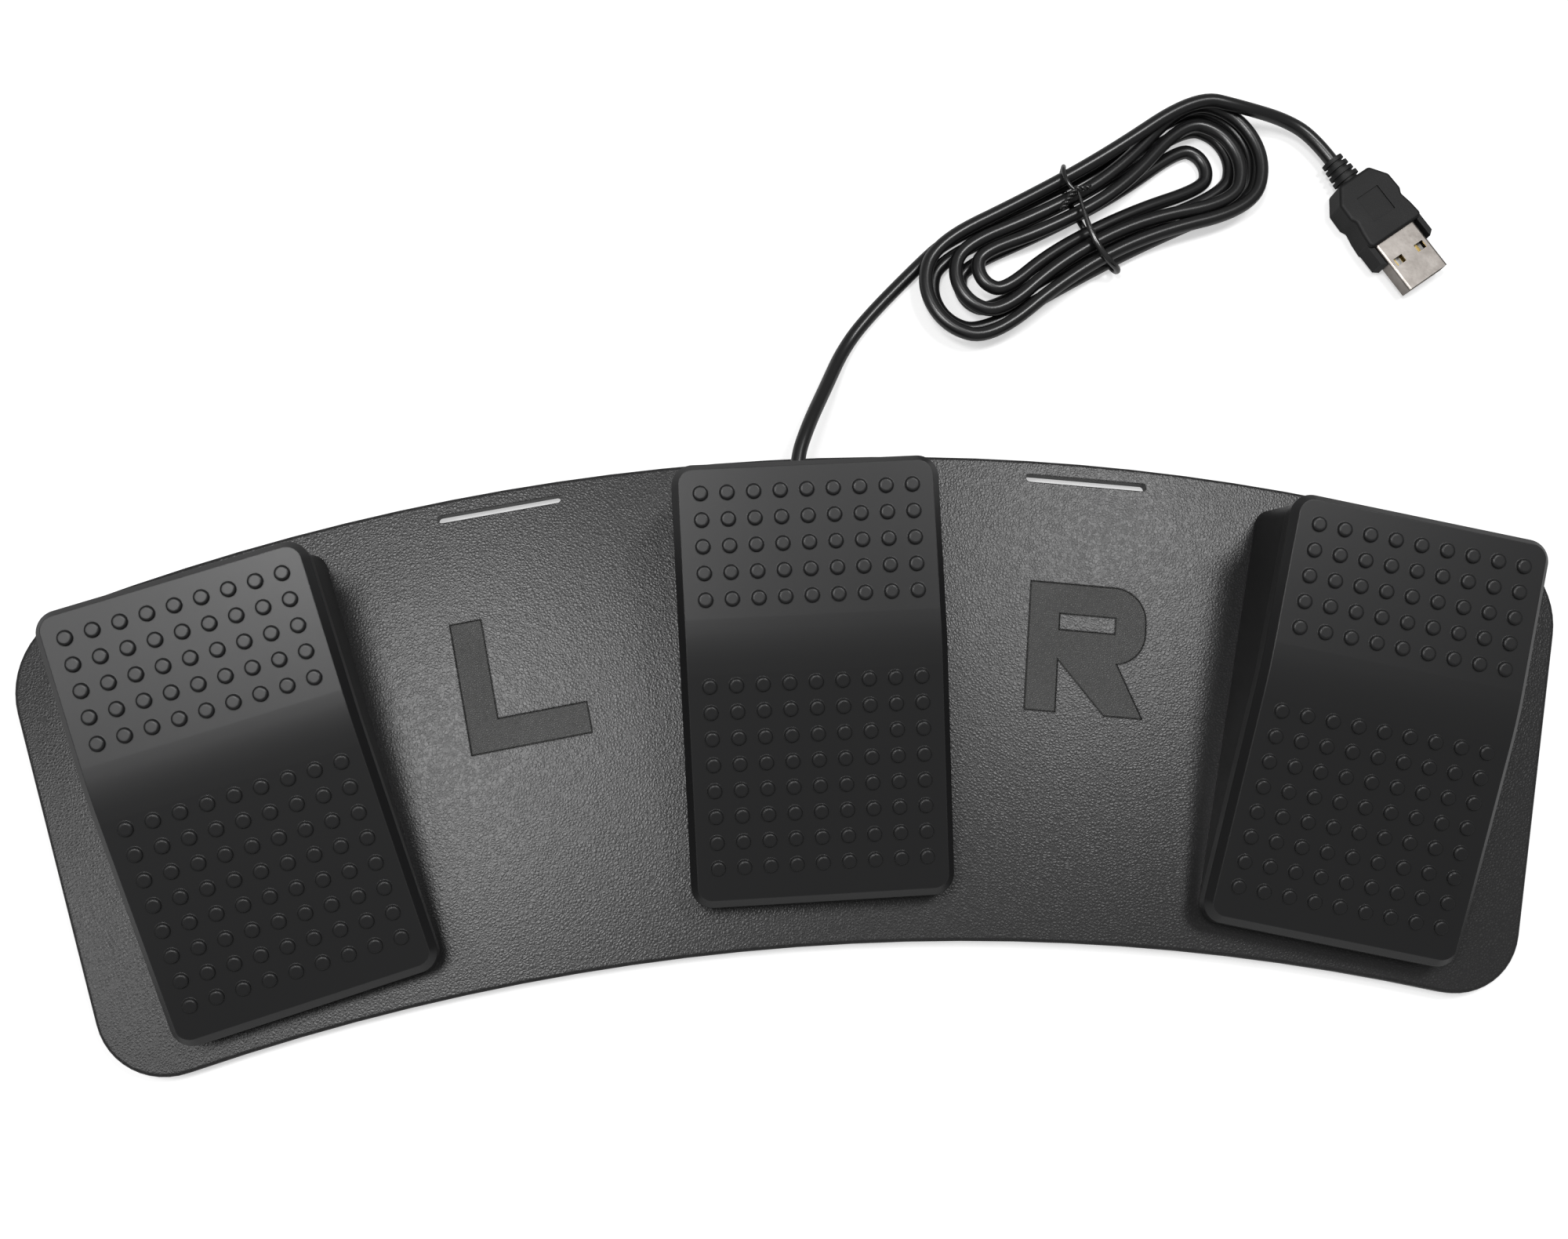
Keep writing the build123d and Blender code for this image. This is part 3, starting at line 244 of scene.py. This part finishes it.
def tieCurve(name, points, radius, material):
    data = bpy.data.curves.new(name, "CURVE")
    data.dimensions = "3D"
    data.bevel_depth = radius * mm
    data.bevel_resolution = tie["bevelSteps"]
    data.resolution_u = tie["splineSteps"]
    data.use_fill_caps = True
    spline = data.splines.new("NURBS")
    spline.points.add(len(points) - 1)
    for point, (u, v, z, share) in zip(spline.points, points):
        point.co = (*[value * mm for value in fromHank(u, v, z)], 1)
        point.radius = share
    spline.order_u = tie["splineOrder"]
    spline.use_endpoint_u = True
    data.materials.append(material)
    made = bpy.data.objects.new(name, data)
    bpy.context.scene.collection.objects.link(made)
    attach(made, "base")
    return made


# The strip round the hank and the two wound ends that lie on it
def addTie(material):
    made = [tieCurve("tieStrip", tie["strip"], tie["stripRadius"], material)]
    start = Vector(tie["windStart"])
    swing = tie["windSwing"]
    for number, (place, turns) in enumerate(zip(tie["windEnds"], tie["windTurns"])):
        along = Vector(place) - start
        side = Vector((-along.y, along.x, 0)).normalized()
        for half in (0, 1):
            points = []
            for step in range(tie["windSteps"] + 1):
                share = step / tie["windSteps"]
                angle = math.pi * (2 * turns * share + half)
                spot = start + along * share + side * swing * math.cos(angle)
                thickness = 1 - tie["windTaper"] * share
                points.append((spot.x, spot.y, spot.z + swing * math.sin(angle), thickness))
            made.append(tieCurve(f"tieEnd{number}{half}", points, tie["windRadius"], material))
    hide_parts("hank_tie")
    return made


# Shader groups that several finishes share
def newGroup(name, inputs, outputs):
    tree = bpy.data.node_groups.new(name, "ShaderNodeTree")
    for label, value in inputs.items():
        socket = tree.interface.new_socket(label, in_out="INPUT", socket_type="NodeSocketFloat")
        socket.default_value = value
    for label in outputs:
        tree.interface.new_socket(label, in_out="OUTPUT", socket_type="NodeSocketFloat")
    source = tree.nodes.new("NodeGroupInput")
    sink = tree.nodes.new("NodeGroupOutput")
    return tree, source, sink


# A node with some of its properties or inputs set; links are given as sockets
def put(tree, kind, **values):
    made = tree.nodes.new(kind)
    for key, value in values.items():
        if hasattr(made, key) and not isinstance(value, bpy.types.NodeSocket):
            setattr(made, key, value)
            continue
        label = key.replace("_", " ")
        socket = next(item for item in made.inputs if item.name == label and item.enabled)
        if isinstance(value, bpy.types.NodeSocket):
            tree.links.new(value, socket)
        else:
            socket.default_value = value
    return made


def math2(tree, operation, first, second=0.0, third=0.0):
    made = tree.nodes.new("ShaderNodeMath")
    made.operation = operation
    for socket, value in zip(made.inputs, (first, second, third)):
        if isinstance(value, bpy.types.NodeSocket):
            tree.links.new(value, socket)
        else:
            socket.default_value = value
    return made.outputs[0]


grainLook = {"wall": 2.5, "finer": 2.7, "detail": 3.0, "roughness": 0.6}
cloudLook = {"detail": 4.0, "roughness": 0.55}
bevelSamples = 4


# Moulded-in grain: raised cells of a set size, with cracks between them and finer noise on top
def grainGroup():
    tree, source, sink = newGroup("mouldGrain", {"Cell": 1.0, "Fine": 0.4}, ("Height", "Tone"))
    place = tree.nodes.new("ShaderNodeTexCoord").outputs["Object"]
    scale = math2(tree, "DIVIDE", 1 / mm, source.outputs["Cell"])
    cells = put(tree, "ShaderNodeTexVoronoi", feature="DISTANCE_TO_EDGE", Vector=place, Scale=scale)
    speck = put(
        tree, "ShaderNodeTexNoise", Vector=place, Scale=math2(tree, "MULTIPLY", scale, grainLook["finer"]),
        Detail=grainLook["detail"], Roughness=grainLook["roughness"],
    )
    walls = math2(tree, "MULTIPLY", cells.outputs["Distance"], grainLook["wall"])
    bump = math2(tree, "MINIMUM", walls, 1.0)
    fine = math2(tree, "MULTIPLY", speck.outputs[0], source.outputs["Fine"])
    tree.links.new(math2(tree, "ADD", bump, fine), sink.inputs["Height"])
    tree.links.new(math2(tree, "MULTIPLY", bump, speck.outputs[0]), sink.inputs["Tone"])
    return tree


# Slow changes over a surface, such as handling, dust and uneven sheen
def cloudGroup():
    tree, source, sink = newGroup("surfaceCloud", {"Size": 30.0, "Contrast": 1.5}, ("Cloud",))
    place = tree.nodes.new("ShaderNodeTexCoord").outputs["Object"]
    scale = math2(tree, "DIVIDE", 1 / mm, source.outputs["Size"])
    noise = put(
        tree, "ShaderNodeTexNoise", Vector=place, Scale=scale,
        Detail=cloudLook["detail"], Roughness=cloudLook["roughness"],
    )
    centred = math2(tree, "SUBTRACT", noise.outputs[0], 0.5)
    spread = math2(tree, "MULTIPLY_ADD", centred, source.outputs["Contrast"], 0.5)
    clamped = tree.nodes.new("ShaderNodeClamp")
    tree.links.new(spread, clamped.inputs["Value"])
    tree.links.new(clamped.outputs[0], sink.inputs["Cloud"])
    return tree


# A mask that is 1 on rounded-over edges and 0 on open faces; the finishes use it to paint highlights and
# shade along edges
def edgeGroup():
    tree, source, sink = newGroup("edgeMask", {"Radius": 0.3, "Gain": 6.0}, ("Edge",))
    size = math2(tree, "MULTIPLY", source.outputs["Radius"], mm)
    bevel = put(tree, "ShaderNodeBevel", samples=bevelSamples, Radius=size)
    face = tree.nodes.new("ShaderNodeNewGeometry")
    dot = tree.nodes.new("ShaderNodeVectorMath")
    dot.operation = "DOT_PRODUCT"
    tree.links.new(bevel.outputs[0], dot.inputs[0])
    tree.links.new(face.outputs["Normal"], dot.inputs[1])
    lost = math2(tree, "SUBTRACT", 1.0, dot.outputs["Value"])
    gained = math2(tree, "MULTIPLY", lost, source.outputs["Gain"])
    clamped = tree.nodes.new("ShaderNodeClamp")
    tree.links.new(gained, clamped.inputs["Value"])
    tree.links.new(clamped.outputs[0], sink.inputs["Edge"])
    return tree


groups = {"grain": grainGroup(), "cloud": cloudGroup(), "edge": edgeGroup()}


# Edges default to a mix towards the light colour, a painted highlight
plainMoulded = {
    "fine": 0.4, "cloudContrast": 1.6, "edgeRadius": 0.3, "edgeGain": 5.0, "edgeShare": 0.35,
    "speck": 0.3, "bump": 0.3, "depth": 0.3, "specular": 0.5, "coat": 0.0, "coatRoughness": 0.1,
}
plainMetal = {
    "detail": 2.0, "contrast": 2.0, "edgeRadius": 0.15, "edgeGain": 6.0, "edgeShare": 0.5,
    "bump": 0.15, "depth": 0.05,
}


def useGroup(tree, name, **values):
    made = tree.nodes.new("ShaderNodeGroup")
    made.node_tree = groups[name]
    for label, value in values.items():
        made.inputs[label].default_value = value
    return made


def mixColor(tree, share, first, second):
    made = tree.nodes.new("ShaderNodeMix")
    made.data_type = "RGBA"
    for socket, value in ((made.inputs[0], share), (made.inputs[6], first), (made.inputs[7], second)):
        if isinstance(value, bpy.types.NodeSocket):
            tree.links.new(value, socket)
        elif socket.type == "RGBA":
            socket.default_value = (*value, 1)
        else:
            socket.default_value = value
    return made.outputs[2]


# Maps a 0 to 1 value to the range from low to high
def spreadValue(tree, source, low, high):
    return math2(tree, "MULTIPLY_ADD", source, high - low, low)


def newMaterial(name):
    made = bpy.data.materials.new(name)
    made.use_nodes = True
    tree = made.node_tree
    return made, tree, tree.nodes["Principled BSDF"]


# Moulded plastic or rubber: grain, cloudy sheen, and a colour mixed onto edges through a bevel mask; most
# finishes use it for painted highlights on edges, the plate and the marks for painted shade
def mouldedFinish(name, given):
    look = {"speckColor": given["light"], "edgeColor": given["light"], **plainMoulded, **given}
    made, tree, shader = newMaterial(name)
    grain = useGroup(tree, "grain", Cell=look["cell"], Fine=look["fine"])
    cloud = useGroup(tree, "cloud", Size=look["cloud"], Contrast=look["cloudContrast"])
    edge = useGroup(tree, "edge", Radius=look["edgeRadius"], Gain=look["edgeGain"])
    base = mixColor(tree, cloud.outputs["Cloud"], look["dark"], look["light"])
    # Grain speck colour: grain tone, and painted glints on the plate and the marks
    speckShare = math2(tree, "MULTIPLY", grain.outputs["Tone"], look["speck"])
    speckled = mixColor(tree, speckShare, base, look["speckColor"])
    # Edge colour mixed in: painted highlight on most finishes, painted shade where edgeColor is near black
    edgeShare = math2(tree, "MULTIPLY", edge.outputs["Edge"], look["edgeShare"])
    edged = mixColor(tree, edgeShare, speckled, look["edgeColor"])
    tree.links.new(edged, shader.inputs["Base Color"])
    low, high = look["roughness"]
    tree.links.new(spreadValue(tree, cloud.outputs["Cloud"], high, low), shader.inputs["Roughness"])
    bump = put(tree, "ShaderNodeBump", Strength=look["bump"], Height=grain.outputs["Height"])
    bump.inputs["Distance"].default_value = look["cell"] * mm * look["depth"]
    if look["edgeShare"] > 0:
        rounded = put(tree, "ShaderNodeBevel", samples=bevelSamples, Radius=look["edgeRadius"] * mm)
        tree.links.new(rounded.outputs[0], bump.inputs["Normal"])
    tree.links.new(bump.outputs[0], shader.inputs["Normal"])
    shader.inputs["Specular IOR Level"].default_value = look["specular"]
    shader.inputs["Coat Weight"].default_value = look["coat"]
    shader.inputs["Coat Roughness"].default_value = look["coatRoughness"]
    return made


# Metal with fine drawn lines, slow tarnish, and edges mixed towards the light colour as a painted highlight
def metalFinish(name, given):
    look = {**plainMetal, **given}
    made, tree, shader = newMaterial(name)
    place = tree.nodes.new("ShaderNodeTexCoord").outputs["Object"]
    mapped = put(tree, "ShaderNodeMapping", Vector=place, Scale=look["lines"])
    lines = put(
        tree, "ShaderNodeTexNoise", Vector=mapped.outputs[0], Scale=1 / mm, Detail=look["detail"],
    )
    cloud = useGroup(tree, "cloud", Size=look["cloud"], Contrast=look["contrast"])
    edge = useGroup(tree, "edge", Radius=look["edgeRadius"], Gain=look["edgeGain"])
    base = mixColor(tree, cloud.outputs["Cloud"], look["dark"], look["light"])
    # Edge mix: painted highlight along the metal's edges
    edgeShare = math2(tree, "MULTIPLY", edge.outputs["Edge"], look["edgeShare"])
    tree.links.new(mixColor(tree, edgeShare, base, look["light"]), shader.inputs["Base Color"])
    low, high = look["roughness"]
    tree.links.new(spreadValue(tree, lines.outputs[0], low, high), shader.inputs["Roughness"])
    bump = put(tree, "ShaderNodeBump", Strength=look["bump"], Height=lines.outputs[0])
    bump.inputs["Distance"].default_value = look["depth"] * mm
    tree.links.new(bump.outputs[0], shader.inputs["Normal"])
    shader.inputs["Metallic"].default_value = 1.0
    return made


finishes = {
    "plate": mouldedFinish("grainedPlate", {
        # speckColor: painted glints on the grain cells, partly grain tone
        "dark": (0.019, 0.019, 0.0195), "light": (0.032, 0.0315, 0.032), "speckColor": (0.09, 0.09, 0.09),
        "cell": 0.7, "cloud": 70.0, "roughness": (0.25, 0.29), "speck": 0.3, "bump": 0.13, "fine": 0.5,
        "specular": 0.42,
        # edgeColor: painted shade, a dark line along the plate's edges and slot rims
        "edgeShare": 0.9, "edgeColor": (0.004, 0.004, 0.004), "edgeRadius": 0.4,
    }),
    "mark": mouldedFinish("coarseMark", {
        # speckColor: painted glints on the coarse grain, partly grain tone
        "dark": (0.022, 0.022, 0.022), "light": (0.045, 0.045, 0.045), "speckColor": (0.4, 0.4, 0.385),
        "cell": 0.4, "cloud": 24.0, "roughness": (0.34, 0.46), "speck": 0.55, "bump": 0.5, "fine": 0.9,
        # edgeColor: painted shade, a dark outline round the letters' edges
        "edgeShare": 1.0, "edgeColor": (0.004, 0.004, 0.004), "edgeRadius": 0.3, "edgeGain": 12.0,
    }),
    "treadle": mouldedFinish("satinTreadle", {
        "dark": (0.0125, 0.0125, 0.013), "light": (0.0165, 0.0165, 0.017), "cell": 0.3, "cloud": 45.0,
        "roughness": (0.31, 0.36), "speck": 0.1, "bump": 0.03, "edgeShare": 0.35,
        # edgeColor: painted highlight, a bright line along the rim creases
        "edgeColor": (0.13, 0.13, 0.13), "edgeRadius": 0.35, "edgeGain": 4.0,
    }),
    "housing": mouldedFinish("satinHousing", {
        "dark": (0.012, 0.012, 0.0125), "light": (0.018, 0.018, 0.0185), "cell": 0.3, "cloud": 30.0,
        "roughness": (0.4, 0.52), "speck": 0.1, "bump": 0.1,
    }),
    "rubber": mouldedFinish("dullRubber", {
        "dark": (0.012, 0.012, 0.012), "light": (0.03, 0.03, 0.029), "cell": 0.35, "cloud": 12.0,
        "roughness": (0.62, 0.8), "bump": 0.35,
    }),
    "cover": mouldedFinish("coverFilm", {
        "dark": (0.025, 0.025, 0.026), "light": (0.045, 0.045, 0.046), "cell": 0.5, "cloud": 20.0,
        "roughness": (0.45, 0.6), "bump": 0.15,
    }),
    "cord": mouldedFinish("cordJacket", {
        "dark": (0.006, 0.006, 0.0062), "light": (0.011, 0.011, 0.0115), "cell": 0.35, "cloud": 30.0,
        "roughness": (0.3, 0.34), "speck": 0.05, "bump": 0.01, "edgeShare": 0.0, "specular": 0.55,
        "coat": 0.45, "coatRoughness": 0.24,
    }),
    "innerWire": mouldedFinish("innerWireJacket", {
        "dark": (0.02, 0.02, 0.022), "light": (0.05, 0.05, 0.052), "cell": 0.3, "cloud": 8.0,
        "roughness": (0.3, 0.45), "bump": 0.05,
    }),
    "tie": mouldedFinish("tieFilm", {
        "dark": (0.006, 0.006, 0.006), "light": (0.02, 0.02, 0.02), "cell": 0.25, "cloud": 4.0,
        "roughness": (0.2, 0.28), "speck": 0.05, "bump": 0.02, "edgeShare": 0.0, "specular": 0.8, "coat": 0.6,
    }),
    "plug": mouldedFinish("mattePlug", {
        "dark": (0.006, 0.006, 0.0062), "light": (0.01, 0.01, 0.0104), "cell": 0.25, "cloud": 14.0,
        # edgeColor: painted highlight along the plug's edges
        "roughness": (0.46, 0.6), "speck": 0.15, "bump": 0.25, "edgeColor": (0.08, 0.08, 0.08),
        "edgeShare": 0.5, "edgeRadius": 0.15,
    }),
    "switch": mouldedFinish("switchShell", {
        "dark": (0.012, 0.012, 0.014), "light": (0.03, 0.03, 0.033), "cell": 0.3, "cloud": 10.0,
        "roughness": (0.4, 0.55), "bump": 0.1,
    }),
    "plunger": mouldedFinish("paleSwitchPlunger", {
        "dark": (0.55, 0.53, 0.47), "light": (0.7, 0.68, 0.62), "cell": 0.2, "cloud": 3.0,
        "roughness": (0.3, 0.45), "bump": 0.05,
    }),
    "board": mouldedFinish("boardLaminate", {
        "dark": (0.01, 0.1, 0.04), "light": (0.02, 0.2, 0.08), "cell": 1.2, "cloud": 9.0,
        "roughness": (0.2, 0.35), "bump": 0.1, "edgeColor": (0.5, 0.45, 0.3),
    }),
    "chip": mouldedFinish("chipShell", {
        "dark": (0.012, 0.012, 0.012), "light": (0.03, 0.03, 0.03), "cell": 0.15, "cloud": 5.0,
        "roughness": (0.5, 0.65), "bump": 0.2,
    }),
    "socket": mouldedFinish("creamSocket", {
        "dark": (0.6, 0.57, 0.48), "light": (0.76, 0.74, 0.66), "cell": 0.3, "cloud": 6.0,
        "roughness": (0.35, 0.5), "bump": 0.05,
    }),
    "tongue": mouldedFinish("plugTongue", {
        "dark": (0.78, 0.77, 0.75), "light": (0.86, 0.85, 0.83), "cell": 0.3, "cloud": 5.0,
        "roughness": (0.35, 0.5), "bump": 0.1,
    }),
    "steel": metalFinish("turnedSteel", {
        "dark": (0.42, 0.42, 0.43), "light": (0.68, 0.68, 0.69), "lines": (4, 1, 1), "cloud": 6.0,
        "roughness": (0.2, 0.35),
    }),
    "screw": metalFinish("zincScrew", {
        "dark": (0.25, 0.25, 0.26), "light": (0.5, 0.5, 0.52), "lines": (2, 2, 1), "cloud": 3.0,
        "roughness": (0.28, 0.42),
    }),
    "shell": metalFinish("satinShell", {
        "dark": (0.31, 0.28, 0.255), "light": (0.56, 0.52, 0.485), "lines": (1.5, 1.5, 4), "cloud": 4.0,
        "roughness": (0.3, 0.46),
    }),
    "brass": metalFinish("giltContact", {
        "dark": (0.6, 0.42, 0.14), "light": (0.85, 0.65, 0.25), "lines": (2, 1, 1), "cloud": 2.0,
        "roughness": (0.2, 0.35),
    }),
}

nodeFinish = {
    "base_plate": "plate",
    "mark_left": "mark",
    "mark_right": "mark",
    "rubber_feet": "rubber",
    "groove_cover_left": "cover",
    "groove_cover_right": "cover",
    "circuit_board": "board",
    "controller_chip": "chip",
    "board_sockets": "socket",
    "board_screws": "screw",
    "left_wire": "innerWire",
    "right_wire": "innerWire",
    "centre_wire": "innerWire",
    "inner_lead": "innerWire",
    "cord_gland": "rubber",
    "cord_lead": "cord",
    "cord_hank": "cord",
    "cord_tail": "cord",
    "hank_tie": "tie",
    "plug_boot": "plug",
    "plug_body": "plug",
    "plug_shell": "shell",
    "plug_tongue": "tongue",
    "plug_contacts": "brass",
}
pedalFinish = {
    "housing": "housing",
    "treadle": "treadle",
    "hinge_pin": "steel",
    "return_spring": "steel",
    "switch_body": "switch",
    "switch_plunger": "plunger",
    "switch_blades": "brass",
    "screws": "screw",
}
for side in sides:
    for piece, finish in pedalFinish.items():
        nodeFinish[f"{side}_{piece}"] = finish
for name, node in nodes.items():
    node.data.materials.clear()
    node.data.materials.append(finishes[nodeFinish[name]])
print("finishes on", len(nodes), "nodes")


def addSpring(side):
    node = nodes[f"{side}_return_spring"]
    made = node.copy()
    made.data = node.data.copy()
    made.name = f"{side}Coil"
    bpy.context.scene.collection.objects.link(made)
    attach(made, "base")
    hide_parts(f"{side}_return_spring")
    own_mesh(made)


for side in sides:
    addSpring(side)
print("springs added")

cordPiece, cordRoute = addCord(finishes["cord"])
tiePieces = addTie(finishes["tie"])
print("cord with", len(cordRoute), "points")


# Studio: a white floor that keeps the shadow and three softboxes overhead
studio = {
    "floorSize": 4.0,
    "floorColor": (0.4, 0.4, 0.4),
    "floorSeenColor": (0.9, 0.9, 0.9),
    "floorGlow": 0.5,
    "glossyShare": 0.3,
    "floorRoughness": 0.9,
    "skyColor": (1.0, 1.0, 1.0),
    "skyStrength": 0.2,
    "boxes": {
        "leftBox": ((-0.2, 0.1, 0.9), (0.2, 0.2), 2.4),
        "rightBox": ((0.31, 0.24, 0.9), (0.2, 0.2), 2.4),
        "outerBox": ((-0.52, -0.06, 0.9), (0.2, 0.35), 1.1),
    },
    "aim": (0.0, 0.02, 0.01),
}


def addFloor():
    half = studio["floorSize"] / 2
    corners = [(-half, -half, 0), (half, -half, 0), (half, half, 0), (-half, half, 0)]
    data = bpy.data.meshes.new("studioFloor")
    data.from_pydata(corners, [], [(0, 1, 2, 3)])
    made = bpy.data.objects.new("studioFloor", data)
    bpy.context.scene.collection.objects.link(made)
    material, tree, shader = newMaterial("paleFloor")
    shader.inputs["Roughness"].default_value = studio["floorRoughness"]
    shader.inputs["Specular IOR Level"].default_value = 0.0
    glow = put(tree, "ShaderNodeEmission", Color=(1, 1, 1, 1))
    path = tree.nodes.new("ShaderNodeLightPath")
    seen = math2(tree, "MAXIMUM", path.outputs["Is Camera Ray"], path.outputs["Is Transmission Ray"])
    color = mixColor(tree, seen, studio["floorColor"], studio["floorSeenColor"])
    tree.links.new(color, shader.inputs["Base Color"])
    shown = math2(tree, "MULTIPLY_ADD", path.outputs["Is Glossy Ray"], studio["glossyShare"], seen)
    tree.links.new(math2(tree, "MULTIPLY", shown, studio["floorGlow"]), glow.inputs["Strength"])
    added = tree.nodes.new("ShaderNodeAddShader")
    tree.links.new(shader.outputs[0], added.inputs[0])
    tree.links.new(glow.outputs[0], added.inputs[1])
    tree.links.new(added.outputs[0], tree.nodes["Material Output"].inputs["Surface"])
    data.materials.append(material)


def addLights():
    world = bpy.data.worlds.new("studioSky")
    world.use_nodes = True
    tree = world.node_tree
    background = tree.nodes["Background"]
    background.inputs["Color"].default_value = (*studio["skyColor"], 1)
    path = tree.nodes.new("ShaderNodeLightPath")
    strength = spreadValue(tree, path.outputs["Is Camera Ray"], studio["skyStrength"], 1.0)
    tree.links.new(strength, background.inputs["Strength"])
    bpy.context.scene.world = world
    for name, (place, size, power) in studio["boxes"].items():
        data = bpy.data.lights.new(name, "AREA")
        data.shape = "RECTANGLE"
        data.size, data.size_y = size
        data.energy = power
        made = bpy.data.objects.new(name, data)
        made.location = place
        aim = Vector(studio["aim"]) - Vector(place)
        made.rotation_euler = aim.to_track_quat("-Z", "Y").to_euler()
        bpy.context.scene.collection.objects.link(made)


addFloor()
addLights()
bpy.context.scene.view_settings.view_transform = "Standard"
print("studio ready")
